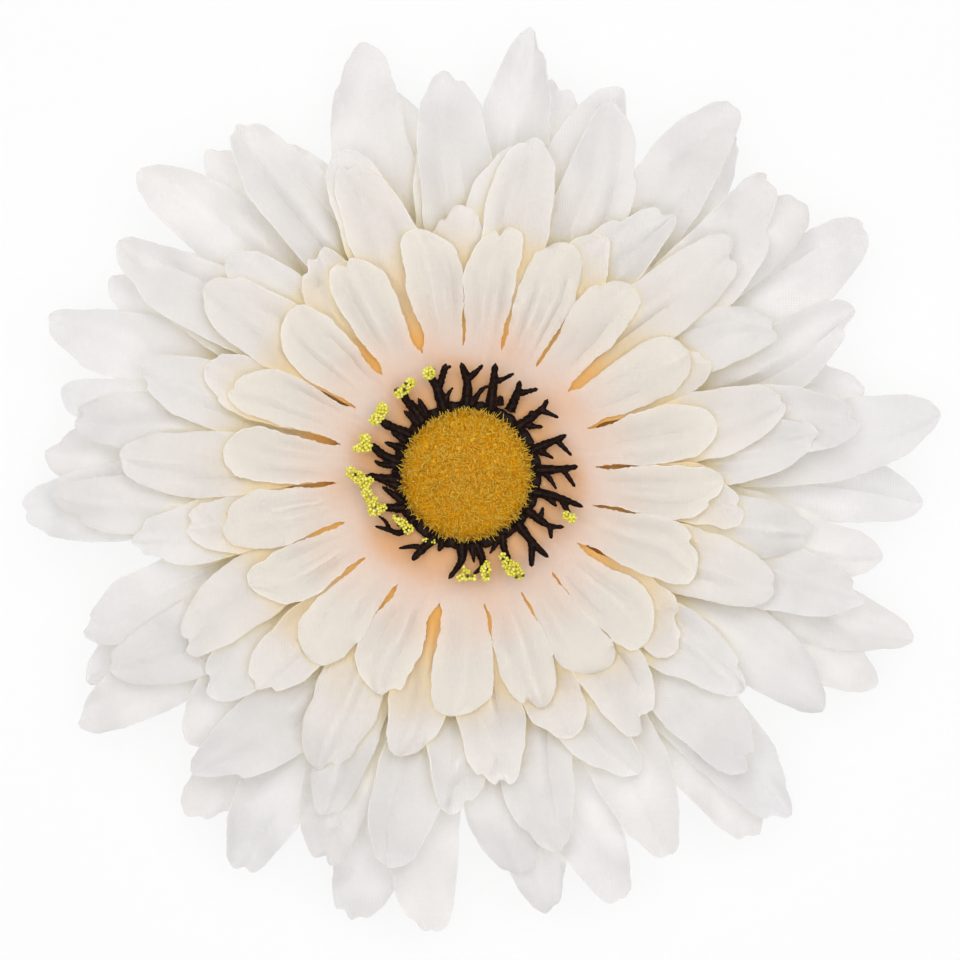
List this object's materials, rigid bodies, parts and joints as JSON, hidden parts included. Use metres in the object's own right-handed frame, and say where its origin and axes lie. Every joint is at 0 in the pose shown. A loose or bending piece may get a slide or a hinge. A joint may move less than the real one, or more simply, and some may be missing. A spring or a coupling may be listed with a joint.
{
  "type": "artificial gerbera flower head",
  "caption": "Stemless artificial gerbera head: layered fabric petal sheets on a peg, with a flocked centre button, a branched stamen collar and a green calyx.",
  "frame": {"origin": "on the flower's axis, in the flat foot of the calyx that the head rests on", "axes": "+Z along the flower's axis, out of its face; +X and +Y across the face"},
  "size_m": [0.1201, 0.1178, 0.028],
  "materials": {
    "petal_fabric": "matte stiffened woven polyester, creamy white",
    "clear_plastic": "cloudy natural polyethylene",
    "button_plastic": "amber moulded plastic, covered with glue",
    "gold_flock": "dense short golden flock fibres",
    "dark_stamen_plastic": "glossy dark brown-black moulded plastic",
    "yellow_pollen": "lemon yellow granules in glue",
    "green_calyx_plastic": "satin leaf green moulded polyethylene"
  },
  "bodies": {
    "root": {"petal_sheet_1": "petal_fabric", "petal_sheet_2": "petal_fabric", "petal_sheet_3": "petal_fabric", "petal_sheet_4": "petal_fabric", "petal_sheet_5": "petal_fabric", "petal_sheet_6": "petal_fabric", "petal_sheet_7": "petal_fabric", "washer_1": "clear_plastic", "washer_2": "clear_plastic", "washer_3": "clear_plastic", "washer_4": "clear_plastic", "washer_5": "clear_plastic", "washer_6": "clear_plastic", "centre_button": "button_plastic", "flock_coat": "gold_flock", "stamen_collar": "dark_stamen_plastic", "pollen_clump_01": "yellow_pollen", "pollen_clump_02": "yellow_pollen", "pollen_clump_03": "yellow_pollen", "pollen_clump_04": "yellow_pollen", "pollen_clump_05": "yellow_pollen", "pollen_clump_06": "yellow_pollen", "pollen_clump_07": "yellow_pollen", "pollen_clump_08": "yellow_pollen", "pollen_clump_09": "yellow_pollen", "pollen_clump_10": "yellow_pollen", "pollen_clump_11": "yellow_pollen", "pollen_clump_12": "yellow_pollen", "calyx": "green_calyx_plastic"}
  },
  "joints": []
}
